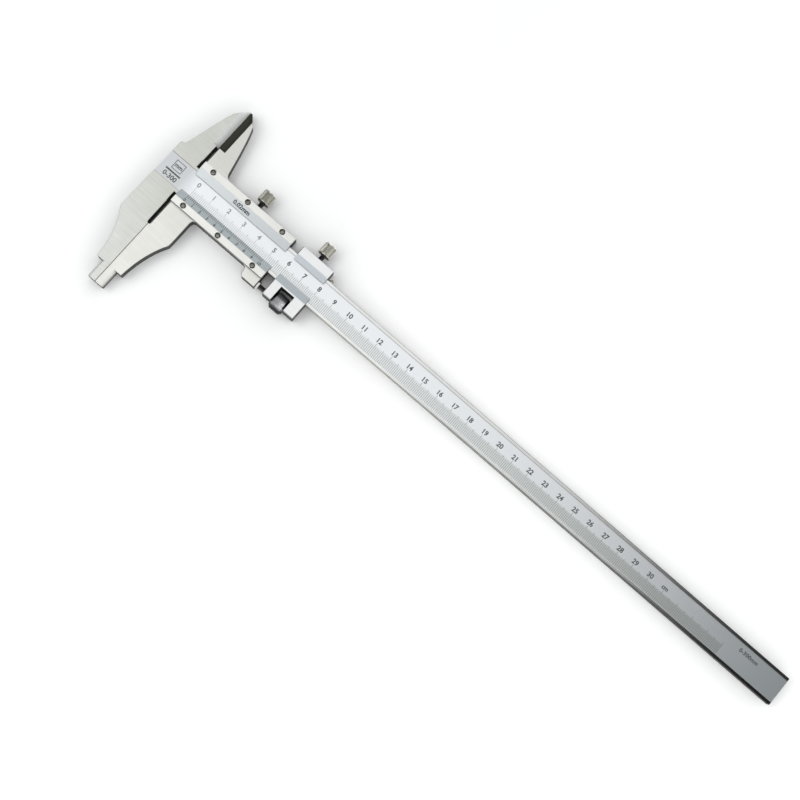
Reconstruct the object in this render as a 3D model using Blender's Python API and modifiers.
"""Vernier caliper, 0 to 300 mm, with nib jaws below the beam, knife-edge jaws above it and a fine adjustment.

+X runs along the beam, away from the jaws. +Y points at the knife-edge jaws. +Z comes out of the scale face.
The origin is the middle of the head's back, on the beam's centreline. Every length is in metres.
"""

import math

import bmesh
import bpy
from mathutils import Matrix, Vector

MM = 0.001

# Heights above the surface that the caliper lies on
JAW_TOP = 7.5 * MM  # the jaws, the head and the slider's rails are ground to this height
BEAM_BOTTOM = 2.9 * MM
SCALE_FACE = 7.2 * MM  # the graduated face lies a little below the beam's ground edges
PLATE_TOP = 9.7 * MM
FIT = 0.2 * MM  # clearance between pieces that touch
BREAK = 0.25 * MM  # broken edges

# Plan of the beam and the measuring plane
MEASURING_X = 8.0 * MM
JAW_GAP = 0.1 * MM
BEAM_END_X = 401.5 * MM
BEAM_HALF = 8.5 * MM
SCALE_HALF = 6.9 * MM

# Jaws
NIB_TIP_Y = -68.5 * MM
NIB_SHOULDER_Y = -58.0 * MM
NIB_RADIUS = 5.0 * MM  # the two closed nibs make one 10 mm round gauge
KNIFE_TIP_Y = 48.5 * MM
KNIFE_START_Y = 23.1 * MM
FIXED_KNIFE_WIDTH = 3.3 * MM
MOVING_KNIFE_WIDTH = 4.6 * MM
KNIFE_LAND = 0.8 * MM
RELIEF_END_Y = -29.1 * MM
RELIEF_DEPTH = 0.95 * MM

# Slider
SLIDER_END_X = 68.7 * MM
RAIL_HIGH_Y = 13.8 * MM
CHANNEL_LOW_Y = -BEAM_HALF - FIT
CHANNEL_HIGH_Y = 9.7 * MM
CHANNEL_FLOOR = BEAM_BOTTOM - FIT
PLATE_START_X = 8.9 * MM
PLATE_OUTER_Y = 13.3 * MM
PLATE_INNER_Y = 5.1 * MM
PLATE_CREST_Y = 9.6 * MM
PLATE_EDGE = 0.35 * MM  # thickness of a plate's thin edge
LUG_Y = -18.7 * MM
SCREW_MIDDLE_X = 38.4 * MM
SCREW_ROW_Y = 11.4 * MM
SCREW_PITCH = 22.85 * MM

# Fine adjustment
CARRIAGE_START_X = 74.1 * MM
CARRIAGE_END_X = 93.8 * MM
CARRIAGE_LOW_Y = -18.6 * MM
CARRIAGE_HIGH_Y = 13.4 * MM
CARRIAGE_CHAMFER = 0.4 * MM
WINDOW_START_X = 79.2 * MM
WINDOW_END_X = 87.8 * MM
WINDOW_INNER_Y = -9.8 * MM
SPINDLE_Y = -16.5 * MM
SPINDLE_Z = 4.9 * MM
SPINDLE_RADIUS = 1.4 * MM
SPINDLE_START_X = 60.5 * MM
SPINDLE_END_X = 92.5 * MM
PIN_X = 64.0 * MM
PIN_RADIUS = 0.6 * MM
NUT_RADIUS = 4.75 * MM
LOCK_NUT_RADIUS = 2.5 * MM
LOCK_NUT_THICKNESS = 1.3 * MM

# Thumb screws
THUMB_Z = (BEAM_BOTTOM + JAW_TOP) / 2
THUMB_RADIUS = 3.5 * MM
THUMB_HEAD_Y = 16.6 * MM
THUMB_END_Y = 23.5 * MM
THUMB_TIP_Y = 9.4 * MM
STUD_END_Y = THUMB_HEAD_Y + 3.0 * MM  # how far the stud reaches into the head
SLIDER_THUMB_X = 43.5 * MM
CARRIAGE_THUMB_X = 84.2 * MM

GROUND_STEEL = ("ground_steel", (0.72, 0.71, 0.68, 1), 0.32)
SATIN_CHROME = ("satin_chrome", (0.78, 0.8, 0.83, 1), 0.28)
NICKELLED_BRASS = ("nickelled_brass", (0.5, 0.48, 0.42, 1), 0.3)
DARK_STEEL = ("dark_steel", (0.3, 0.31, 0.32, 1), 0.35)
SPRING_BRONZE = ("spring_bronze", (0.62, 0.45, 0.26, 1), 0.35)


def clear_scene():
    for obj in list(bpy.data.objects):
        bpy.data.objects.remove(obj, do_unlink=True)


def new_collection(name, hidden):
    collection = bpy.data.collections.new(name)
    collection.hide_render = hidden
    bpy.context.scene.collection.children.link(collection)
    return collection


def metal(finish):
    """The finish's material, made the first time that it is asked for."""
    name, colour, roughness = finish
    found = bpy.data.materials.get(name)
    if found:
        return found
    made = bpy.data.materials.new(name)
    made.use_nodes = True
    shader = made.node_tree.nodes["Principled BSDF"]
    shader.inputs["Base Color"].default_value = colour
    shader.inputs["Roughness"].default_value = roughness
    shader.inputs["Metallic"].default_value = 1.0
    return made


def add_object(name, mesh, finish=None):
    """A part where a finish is given, or else a helper that only cuts or joins."""
    obj = bpy.data.objects.new(name, mesh)
    if finish:
        PARTS.objects.link(obj)
        mesh.materials.append(metal(finish))
    else:
        CUTTERS.objects.link(obj)
        obj.hide_render = True
        obj.display_type = "WIRE"
    return obj


def set_origin(obj, point, parent=None):
    """Moves the object's origin to the point without moving its shape, and parents it."""
    point = Vector(point)
    obj.data.transform(Matrix.Translation(-point))
    obj.location = point
    if parent:
        adopt(obj, parent)


def adopt(obj, parent):
    obj.parent = parent
    obj.matrix_parent_inverse = Matrix.Translation(-FRAME_PLACES[parent.name])


def frame_empty(name, place, parent=None):
    empty = bpy.data.objects.new(name, None)
    empty.empty_display_size = 0.02
    PARTS.objects.link(empty)
    empty.location = Vector(place)
    FRAME_PLACES[name] = Vector(place)
    if parent:
        adopt(empty, parent)
    return empty


def box(name, low, high, finish=None):
    low = Vector(low)
    size = Vector(high) - low
    mesh = bpy.data.meshes.new(name)
    shape = bmesh.new()
    bmesh.ops.create_cube(shape, size=1.0, matrix=Matrix.Translation(low + size / 2) @ Matrix.Diagonal((*size, 1)))
    shape.to_mesh(mesh)
    shape.free()
    return add_object(name, mesh, finish)


def rod(name, start, end, radius, finish=None, sides=32):
    start, end = Vector(start), Vector(end)
    run = end - start
    turn = run.to_track_quat("Z", "Y").to_matrix().to_4x4()
    mesh = bpy.data.meshes.new(name)
    shape = bmesh.new()
    bmesh.ops.create_cone(
        shape,
        cap_ends=True,
        segments=sides,
        radius1=radius,
        radius2=radius,
        depth=run.length,
        matrix=Matrix.Translation((start + end) / 2) @ turn,
    )
    shape.to_mesh(mesh)
    shape.free()
    return add_object(name, mesh, finish)


def turn_about(obj, centre, axis, degrees):
    """Turns the object's shape, which still lies in world coordinates, about an axis through the centre."""
    centre = Vector(centre)
    turn = Matrix.Rotation(math.radians(degrees), 4, Vector(axis))
    obj.data.transform(Matrix.Translation(centre) @ turn @ Matrix.Translation(-centre))


def outline_mesh(name, points, thickness, place):
    """Fills a flat outline, gives it a thickness about its own plane, and puts it at the place (a matrix)."""
    curve = bpy.data.curves.new(name, "CURVE")
    curve.dimensions = "2D"
    curve.fill_mode = "BOTH"
    curve.extrude = thickness / 2
    spline = curve.splines.new("POLY")
    spline.points.add(len(points) - 1)
    for point, (u, v) in zip(spline.points, points):
        point.co = (u, v, 0, 1)
    spline.use_cyclic_u = True
    flat = bpy.data.objects.new(name, curve)
    CUTTERS.objects.link(flat)
    graph = bpy.context.evaluated_depsgraph_get()
    mesh = bpy.data.meshes.new_from_object(flat.evaluated_get(graph))
    bpy.data.objects.remove(flat)
    shape = bmesh.new()
    shape.from_mesh(mesh)
    bmesh.ops.remove_doubles(shape, verts=shape.verts, dist=0.001 * MM)
    bmesh.ops.dissolve_limit(shape, angle_limit=0.001, verts=shape.verts, edges=shape.edges)
    shape.transform(place)
    bmesh.ops.recalc_face_normals(shape, faces=shape.faces)
    shape.to_mesh(mesh)
    shape.free()
    return mesh


def plan_solid(name, points, low_z, high_z, finish=None):
    """An outline in plan, from one height to another."""
    place = Matrix.Translation((0, 0, (low_z + high_z) / 2))
    return add_object(name, outline_mesh(name, points, high_z - low_z, place), finish)


def cross_solid(name, points, start_x, end_x, finish=None):
    """A (y, z) cross-section that runs along X."""
    axes = Matrix(((0, 0, 1, 0), (1, 0, 0, 0), (0, 1, 0, 0), (0, 0, 0, 1)))
    place = Matrix.Translation(((start_x + end_x) / 2, 0, 0)) @ axes
    return add_object(name, outline_mesh(name, points, end_x - start_x, place), finish)


def end_solid(name, points, start_y, end_y, finish=None):
    """An (x, z) cross-section that runs along Y."""
    axes = Matrix(((1, 0, 0, 0), (0, 0, -1, 0), (0, 1, 0, 0), (0, 0, 0, 1)))
    place = Matrix.Translation((0, (start_y + end_y) / 2, 0)) @ axes
    return add_object(name, outline_mesh(name, points, abs(end_y - start_y), place), finish)


def turned(name, profile, origin, axis, finish, steps=48):
    """A body of revolution. The profile holds (radius, height) from the top of the axis to its bottom."""
    mesh = bpy.data.meshes.new(name)
    points = [(radius, 0, height) for radius, height in profile]
    mesh.from_pydata(points, [(i, i + 1) for i in range(len(points) - 1)], [])
    obj = add_object(name, mesh, finish)
    obj.location = Vector(origin)
    obj.rotation_euler = Vector(axis).to_track_quat("Z", "Y").to_euler()
    screw = obj.modifiers.new("turn", "SCREW")
    screw.steps = steps
    screw.render_steps = steps
    screw.use_merge_vertices = True
    screw.merge_threshold = 0.00001
    return obj


def boolean(obj, other, operation):
    modifier = obj.modifiers.new(other.name, "BOOLEAN")
    modifier.operation = operation
    modifier.solver = "EXACT"
    modifier.object = other


def cut(obj, *cutters):
    for cutter in cutters:
        boolean(obj, cutter, "DIFFERENCE")


def join(obj, *others):
    for other in others:
        boolean(obj, other, "UNION")


def break_edges(obj, width=BREAK):
    modifier = obj.modifiers.new("broken_edges", "BEVEL")
    modifier.width = width
    modifier.segments = 1
    modifier.limit_method = "ANGLE"
    modifier.angle_limit = math.radians(50)


def bezier(start, pull_start, pull_end, end, count=10):
    """Points along a cubic curve between two ends, each end included."""
    points = []
    for i in range(count + 1):
        t = i / count
        s = 1 - t
        weights = (s * s * s, 3 * s * s * t, 3 * s * t * t, t * t * t)
        corners = (start, pull_start, pull_end, end)
        points.append(tuple(sum(w * c[k] for w, c in zip(weights, corners)) for k in (0, 1)))
    return points


def arc(centre, radius, start_deg, end_deg, count=5):
    angles = [math.radians(start_deg + (end_deg - start_deg) * i / count) for i in range(count + 1)]
    return [(centre[0] + radius * math.cos(a), centre[1] + radius * math.sin(a)) for a in angles]


def in_mm(*points):
    return [(u * MM, v * MM) for u, v in points]


def relief_outline(face_x, side):
    """The measuring edge between the knife edge and the nib jaw, set back by the relief. Side is the jaw's side."""
    set_back = face_x + side * RELIEF_DEPTH
    end_y = RELIEF_END_Y + RELIEF_DEPTH
    start = 90 - side * 90
    round_end = arc((face_x, end_y), RELIEF_DEPTH, start, start - side * 90, 5)
    return [(face_x, KNIFE_START_Y), (set_back, KNIFE_START_Y), *round_end]


def nib_outline(face_x, side):
    """Half of the round that the two nibs make together, cut off flat at the jaws' two faces."""
    middle_z = JAW_TOP / 2
    lean = math.degrees(math.asin(middle_z / NIB_RADIUS))
    curve = arc((MEASURING_X, middle_z), NIB_RADIUS, -lean, lean, 10)
    outer = [(MEASURING_X + side * (x - MEASURING_X), z) for x, z in curve]
    return [(face_x, 0), *outer, (face_x, JAW_TOP)]


def knife_cutters(name, face_x, side, width):
    """Two wedges that grind a jaw to a knife edge, one from the front and one from the back."""
    middle = JAW_TOP / 2
    depth = middle - KNIFE_LAND / 2
    slope = depth / width
    beyond = 1.0 * MM
    heel_x = face_x + side * width
    cutters = []
    for end, up in (("front", 1), ("back", -1)):
        level = middle + up * middle
        high = level + up * slope * beyond
        edge = (face_x - side * beyond, level - up * (depth + slope * beyond))
        wedge = [edge, (face_x - side * beyond, high), (heel_x + side * beyond, high)]
        cutters.append(end_solid(f"{name}_{end}", wedge, KNIFE_START_Y, KNIFE_TIP_Y + beyond))
    return cutters


def fixed_jaw_outline():
    nib_side = bezier((0.1, -58.0), (0.0, -50.5), (-2.4, -39.4), (-7.6, -32.6))
    head_side = [(-8.3, -30.7), (-7.6, 12.9), (-7.0, 13.5)]
    knife_side = bezier((-5.4, 13.8), (-3.6, 19.0), (-0.6, 33.5), (2.6, 41.7))
    points = in_mm((8.0, -58.0), *nib_side, *head_side, *knife_side, (4.0, 43.3), (7.6, 48.3))
    return [*points, (MEASURING_X, KNIFE_TIP_Y), *relief_outline(MEASURING_X, -1)]


def make_main_beam():
    """Head, fixed jaws and beam: one forging, ground all over, with a recessed graduated face."""
    beam = plan_solid("main_beam", fixed_jaw_outline(), 0, JAW_TOP, GROUND_STEEL)
    bar = box("beam_bar", (0, -BEAM_HALF, BEAM_BOTTOM), (BEAM_END_X, BEAM_HALF, JAW_TOP))
    nib = end_solid("fixed_nib", nib_outline(MEASURING_X, -1), NIB_TIP_Y, NIB_SHOULDER_Y + 2 * MM)
    recess = box(
        "scale_recess",
        (-0.02, -SCALE_HALF, SCALE_FACE),
        (BEAM_END_X + 0.01, SCALE_HALF, JAW_TOP + 0.01),
    )
    for shape in (beam, bar, nib):
        break_edges(shape)
    join(beam, bar, nib)
    cut(beam, recess, *knife_cutters("fixed_knife", MEASURING_X, -1, FIXED_KNIFE_WIDTH))
    return beam


def slider_outline(face_x):
    """The moving jaws, the rails and the lug, in plan."""
    nib_side = bezier((15.7, -58.0), (16.2, -50.5), (18.0, -41.5), (21.9, -33.7))
    lower = in_mm(*nib_side, (23.2, -31.3), (23.4, -29.0), (23.4, -15.4), (23.9, -13.9), (25.2, -13.3))
    lug = in_mm((57.0, -13.3), (58.4, -13.9), (59.0, -15.3), (59.2, -17.3), (60.4, -18.7))
    corner = [(SLIDER_END_X, LUG_Y), (SLIDER_END_X, RAIL_HIGH_Y)]
    fillet = in_mm((24.4, 13.8), (22.7, 14.2), (21.7, 15.2))
    knife_side = in_mm(*bezier((21.1, 16.6), (19.3, 25.0), (17.0, 35.5), (14.2, 42.8)))
    tip = in_mm((12.7, 44.1), (9.25, 48.2))
    outer = [*lower, *lug, *corner, *fillet, *knife_side, *tip, (face_x, KNIFE_TIP_Y - 0.2 * MM)]
    return [(face_x, NIB_SHOULDER_Y), *outer, *relief_outline(face_x, 1)]


def plate_screw_places():
    rows = (SCREW_ROW_Y, -SCREW_ROW_Y)
    return [(SCREW_MIDDLE_X + step * SCREW_PITCH, y) for y in rows for step in (-1, 0, 1)]


def make_slider_body(frame):
    """Channel that runs on the beam, in one piece with the moving jaws."""
    face_x = MEASURING_X + JAW_GAP
    body = plan_solid("slider_body", slider_outline(face_x), 0, JAW_TOP, GROUND_STEEL)
    nib = end_solid("moving_nib", nib_outline(face_x, 1), NIB_TIP_Y, NIB_SHOULDER_Y + 2 * MM)
    break_edges(body)
    break_edges(nib)
    join(body, nib)
    channel = box(
        "slider_channel",
        (0, CHANNEL_LOW_Y, CHANNEL_FLOOR),
        (SLIDER_END_X + 0.01, CHANNEL_HIGH_Y, JAW_TOP + 0.01),
    )
    thumb_bore = rod(
        "slider_thumb_bore",
        (SLIDER_THUMB_X, 0, THUMB_Z),
        (SLIDER_THUMB_X, 0.02, THUMB_Z),
        SPINDLE_RADIUS + FIT,
    )
    spindle_bore = rod(
        "lug_bore",
        (SPINDLE_START_X - FIT, SPINDLE_Y, SPINDLE_Z),
        (SLIDER_END_X + 0.01, SPINDLE_Y, SPINDLE_Z),
        SPINDLE_RADIUS + FIT,
    )
    pin_bore = rod(
        "pin_bore",
        (PIN_X, SPINDLE_Y, -0.01),
        (PIN_X, SPINDLE_Y, SPINDLE_Z + SPINDLE_RADIUS + FIT),
        PIN_RADIUS + FIT,
        sides=20,
    )
    taps = [
        rod(f"plate_tap_{i + 1}", (x, y, 3.0 * MM), (x, y, JAW_TOP + 0.01), 1.1 * MM, sides=20)
        for i, (x, y) in enumerate(plate_screw_places())
    ]
    cut(body, channel, thumb_bore, spindle_bore, pin_bore, *taps)
    cut(body, *knife_cutters("moving_knife", face_x, 1, MOVING_KNIFE_WIDTH))
    set_origin(body, (face_x, 0, 0), frame)


def make_plate(name, side, frame):
    """A front plate on one rail, bevelled down towards the graduated face."""
    under = JAW_TOP + FIT
    section = [
        (PLATE_INNER_Y, under),
        (PLATE_OUTER_Y, under),
        (PLATE_OUTER_Y, PLATE_TOP),
        (PLATE_CREST_Y, PLATE_TOP),
        (PLATE_INNER_Y, under + PLATE_EDGE),
    ]
    section = [(side * y, z) for y, z in section]
    plate = cross_solid(name, section, PLATE_START_X, SLIDER_END_X, SATIN_CHROME)
    break_edges(plate, 0.15 * MM)
    for i, (x, y) in enumerate(plate_screw_places()):
        if y * side > 0:
            through = rod(f"{name}_hole_{i}", (x, y, 0), (x, y, 0.02), 1.1 * MM, sides=20)
            sunk = rod(f"{name}_sink_{i}", (x, y, 8.1 * MM), (x, y, 0.02), 1.6 * MM, sides=28)
            cut(plate, through, sunk)
    set_origin(plate, (PLATE_START_X, 0, under), frame)
    return plate


def make_plate_screw(number, place, frame):
    """Small slotted screw with a domed head, sunk well below the plate's top."""
    x, y = place
    top, seat, end = 9.2 * MM, 8.3 * MM, 3.3 * MM
    profile = [
        (0, top - end),
        (0.7 * MM, top - end - 0.08 * MM),
        (1.15 * MM, top - end - 0.28 * MM),
        (1.35 * MM, top - end - 0.55 * MM),
        (1.35 * MM, seat - end),
        (0.9 * MM, seat - end),
        (0.9 * MM, 0.3 * MM),
        (0.6 * MM, 0),
        (0, 0),
    ]
    screw = turned(f"plate_screw_{number}", profile, (x, y, end), (0, 0, 1), DARK_STEEL, 24)
    across = 2 * MM
    half = 0.25 * MM
    slot = box(f"plate_slot_{number}", (x - across, y - half, top - 0.6 * MM), (x + across, y + half, top + across))
    turn_about(slot, (x, y, 0), (0, 0, 1), 35 * number)
    cut(screw, slot)
    adopt(screw, frame)
    return screw


def make_thumb_head(name, x, slot_deg, frame):
    """Head for fingers, bored for its stud, with a screwdriver slot in its outer end."""
    reach = THUMB_END_Y - THUMB_HEAD_Y
    bore = SPINDLE_RADIUS + FIT
    bore_end = STUD_END_Y + FIT - THUMB_HEAD_Y
    chamfer = 0.3 * MM
    profile = [
        (0, reach),
        (THUMB_RADIUS - chamfer, reach),
        (THUMB_RADIUS, reach - chamfer),
        (THUMB_RADIUS, chamfer),
        (THUMB_RADIUS - chamfer, 0),
        (bore, 0),
        (bore, bore_end),
        (0, bore_end),
    ]
    head = turned(name, profile, (x, THUMB_HEAD_Y, THUMB_Z), (0, 1, 0), NICKELLED_BRASS)
    slot = box(
        f"{name}_slot",
        (x - 5 * MM, THUMB_END_Y - 1.2 * MM, THUMB_Z - 0.5 * MM),
        (x + 5 * MM, THUMB_END_Y + 5 * MM, THUMB_Z + 0.5 * MM),
    )
    turn_about(slot, (x, 0, THUMB_Z), (0, 1, 0), slot_deg)
    cut(head, slot)
    adopt(head, frame)
    return head


def make_thumb_stud(name, x, frame):
    """Dark threaded stud that is fixed in the head, with a short relief under it and a chamfered tip."""
    reach = STUD_END_Y - THUMB_TIP_Y
    neck = THUMB_HEAD_Y - THUMB_TIP_Y
    profile = [
        (0, reach),
        (SPINDLE_RADIUS, reach),
        (SPINDLE_RADIUS, neck),
        (1.1 * MM, neck - 0.3 * MM),
        (1.1 * MM, neck - 0.9 * MM),
        (SPINDLE_RADIUS, neck - 1.2 * MM),
        (SPINDLE_RADIUS, 0.4 * MM),
        (SPINDLE_RADIUS - 0.4 * MM, 0),
        (0, 0),
    ]
    stud = turned(name, profile, (x, THUMB_TIP_Y, THUMB_Z), (0, 1, 0), DARK_STEEL, 32)
    adopt(stud, frame)
    return stud


def make_leaf_spring(name, path, frame):
    """Thin strip on edge that follows the path in plan."""
    width, thickness = 3.4 * MM, 0.35 * MM
    mesh = bpy.data.meshes.new(name)
    points = [(x, y, THUMB_Z - width / 2) for x, y in path]
    mesh.from_pydata(points, [(i, i + 1) for i in range(len(points) - 1)], [])
    shape = bmesh.new()
    shape.from_mesh(mesh)
    raised = bmesh.ops.extrude_edge_only(shape, edges=shape.edges)
    corners = [v for v in raised["geom"] if isinstance(v, bmesh.types.BMVert)]
    bmesh.ops.translate(shape, verts=corners, vec=(0, 0, width))
    shape.to_mesh(mesh)
    shape.free()
    spring = add_object(name, mesh, SPRING_BRONZE)
    solid = spring.modifiers.new("thickness", "SOLIDIFY")
    solid.thickness = thickness
    solid.offset = 0
    adopt(spring, frame)
    return spring


def bowed_path(start_x, end_x, rest_y, sag):
    """A shallow bow towards the beam between two ends."""
    count = 12
    return [
        (start_x + (end_x - start_x) * i / count, rest_y - sag * math.sin(math.pi * i / count))
        for i in range(count + 1)
    ]


def carriage_section():
    """The carriage's (y, z) cross-section: a channel with two lips over the beam's edges."""
    under = JAW_TOP + FIT
    return [
        (CARRIAGE_LOW_Y, 0),
        (CARRIAGE_HIGH_Y, 0),
        (CARRIAGE_HIGH_Y, PLATE_TOP - CARRIAGE_CHAMFER),
        (CARRIAGE_HIGH_Y - CARRIAGE_CHAMFER, PLATE_TOP),
        (8.5 * MM, PLATE_TOP),
        (5.3 * MM, under + PLATE_EDGE),
        (5.3 * MM, under),
        (CHANNEL_HIGH_Y, under),
        (CHANNEL_HIGH_Y, CHANNEL_FLOOR),
        (CHANNEL_LOW_Y, CHANNEL_FLOOR),
        (CHANNEL_LOW_Y, under),
        (-4.9 * MM, under),
        (-4.9 * MM, under + PLATE_EDGE),
        (-9.0 * MM, PLATE_TOP),
        (CARRIAGE_LOW_Y + CARRIAGE_CHAMFER, PLATE_TOP),
        (CARRIAGE_LOW_Y, PLATE_TOP - CARRIAGE_CHAMFER),
    ]


def carriage_end_wedges():
    """Cutters for the chamfers along the two ends of the carriage's top."""
    beyond = 1 * MM
    wedges = []
    for name, end_x, side in (("near", CARRIAGE_START_X, -1), ("far", CARRIAGE_END_X, 1)):
        back = CARRIAGE_CHAMFER + beyond
        wedge = [
            (end_x - side * back, PLATE_TOP + beyond),
            (end_x + side * beyond, PLATE_TOP + beyond),
            (end_x + side * beyond, PLATE_TOP - back),
        ]
        wedges.append(end_solid(f"{name}_end_wedge", wedge, CARRIAGE_LOW_Y - beyond, CARRIAGE_HIGH_Y + beyond))
    return wedges


def make_carriage_body(frame):
    """Block that is clamped to the beam while the nut draws the slider to it."""
    body = cross_solid("carriage_body", carriage_section(), CARRIAGE_START_X, CARRIAGE_END_X, SATIN_CHROME)
    window = box(
        "nut_window",
        (WINDOW_START_X, CARRIAGE_LOW_Y - 0.01, -0.01),
        (WINDOW_END_X, WINDOW_INNER_Y, PLATE_TOP + 0.01),
    )
    spindle_bore = rod(
        "carriage_spindle_bore",
        (CARRIAGE_START_X - 0.01, SPINDLE_Y, SPINDLE_Z),
        (CARRIAGE_END_X + 0.01, SPINDLE_Y, SPINDLE_Z),
        SPINDLE_RADIUS + FIT,
    )
    thumb_bore = rod(
        "carriage_thumb_bore",
        (CARRIAGE_THUMB_X, 0, THUMB_Z),
        (CARRIAGE_THUMB_X, 0.02, THUMB_Z),
        SPINDLE_RADIUS + FIT,
    )
    cut(body, *carriage_end_wedges(), window, spindle_bore, thumb_bore)
    set_origin(body, (CARRIAGE_START_X, 0, 0), frame)
    return body


def make_nut(frame):
    """Fine adjustment wheel with a plain rim and a chamfer at each end."""
    length = WINDOW_END_X - WINDOW_START_X - 2 * 0.3 * MM
    chamfer = 1.1 * MM
    bore = SPINDLE_RADIUS + FIT
    profile = [
        (bore, length),
        (NUT_RADIUS - chamfer, length),
        (NUT_RADIUS, length - chamfer),
        (NUT_RADIUS, chamfer),
        (NUT_RADIUS - chamfer, 0),
        (bore, 0),
        (bore, length),
    ]
    place = (WINDOW_START_X + 0.3 * MM, SPINDLE_Y, SPINDLE_Z)
    nut = turned("fine_adjust_nut", profile, place, (1, 0, 0), DARK_STEEL)
    adopt(nut, frame)
    return nut


def make_spindle(frame):
    """Threaded rod that is fixed in the slider's lug and runs through the carriage's nut."""
    chamfer = 0.4 * MM
    length = SPINDLE_END_X - SPINDLE_START_X
    profile = [
        (0, length),
        (SPINDLE_RADIUS - chamfer, length),
        (SPINDLE_RADIUS, length - chamfer),
        (SPINDLE_RADIUS, chamfer),
        (SPINDLE_RADIUS - chamfer, 0),
        (0, 0),
    ]
    place = (SPINDLE_START_X, SPINDLE_Y, SPINDLE_Z)
    spindle = turned("fine_adjust_spindle", profile, place, (1, 0, 0), DARK_STEEL, 32)
    cross_hole = rod(
        "spindle_cross_hole",
        (PIN_X, SPINDLE_Y, -0.01),
        (PIN_X, SPINDLE_Y, 0.02),
        PIN_RADIUS + FIT,
        sides=20,
    )
    cut(spindle, cross_hole)
    adopt(spindle, frame)
    return spindle


def make_spindle_pin(frame):
    """Cross pin that keeps the spindle from turning in the lug."""
    top = SPINDLE_Z + SPINDLE_RADIUS
    pin = rod("spindle_pin", (PIN_X, SPINDLE_Y, FIT), (PIN_X, SPINDLE_Y, top), PIN_RADIUS, DARK_STEEL, 20)
    set_origin(pin, (PIN_X, SPINDLE_Y, FIT), frame)
    return pin


def make_spindle_lock_nut(frame):
    """Thin six-sided nut against the lug."""
    start = SLIDER_END_X + FIT
    place = (start, SPINDLE_Y, SPINDLE_Z)
    far_side = (start + LOCK_NUT_THICKNESS, SPINDLE_Y, SPINDLE_Z)
    nut = rod("spindle_lock_nut", place, far_side, LOCK_NUT_RADIUS, GROUND_STEEL, 6)
    bore = rod(
        "lock_nut_bore",
        (start - 0.01, SPINDLE_Y, SPINDLE_Z),
        (start + 0.01, SPINDLE_Y, SPINDLE_Z),
        SPINDLE_RADIUS + FIT,
    )
    turn_about(nut, place, (1, 0, 0), 30)
    break_edges(nut, 0.15 * MM)
    cut(nut, bore)
    set_origin(nut, place, frame)
    return nut


def make_slider(frame):
    make_slider_body(frame)
    make_plate("cover_plate", 1, frame)
    make_plate("vernier_plate", -1, frame)
    for number, place in enumerate(plate_screw_places(), 1):
        make_plate_screw(number, place, frame)
    make_leaf_spring("slider_leaf_spring", bowed_path(12 * MM, 66 * MM, 9.3 * MM, 0.35 * MM), frame)
    make_thumb_head("slider_thumb_head", SLIDER_THUMB_X, 80, frame)
    make_thumb_stud("slider_thumb_stud", SLIDER_THUMB_X, frame)
    make_spindle(frame)
    make_spindle_pin(frame)
    make_spindle_lock_nut(frame)


def make_carriage(frame):
    make_carriage_body(frame)
    tail = in_mm((95.0, 9.35), (95.5, 9.8), (96.0, 10.0), (96.5, 9.8), (97.0, 9.35))
    path = bowed_path(74.9 * MM, 93.6 * MM, 9.3 * MM, 0.35 * MM) + tail
    make_leaf_spring("carriage_leaf_spring", path, frame)
    make_thumb_head("carriage_thumb_head", CARRIAGE_THUMB_X, 62, frame)
    make_thumb_stud("carriage_thumb_stud", CARRIAGE_THUMB_X, frame)
    make_nut(frame)


clear_scene()
PARTS = new_collection("vernier_caliper", False)
CUTTERS = new_collection("cutters", True)
FRAME_PLACES = {}
caliper_frame = frame_empty("caliper_frame", (0, 0, 0))
slider_frame = frame_empty("slider_frame", (MEASURING_X + JAW_GAP, 0, 0), caliper_frame)
carriage_frame = frame_empty("carriage_frame", (CARRIAGE_START_X, 0, 0), slider_frame)
adopt(make_main_beam(), caliper_frame)
make_slider(slider_frame)
make_carriage(carriage_frame)
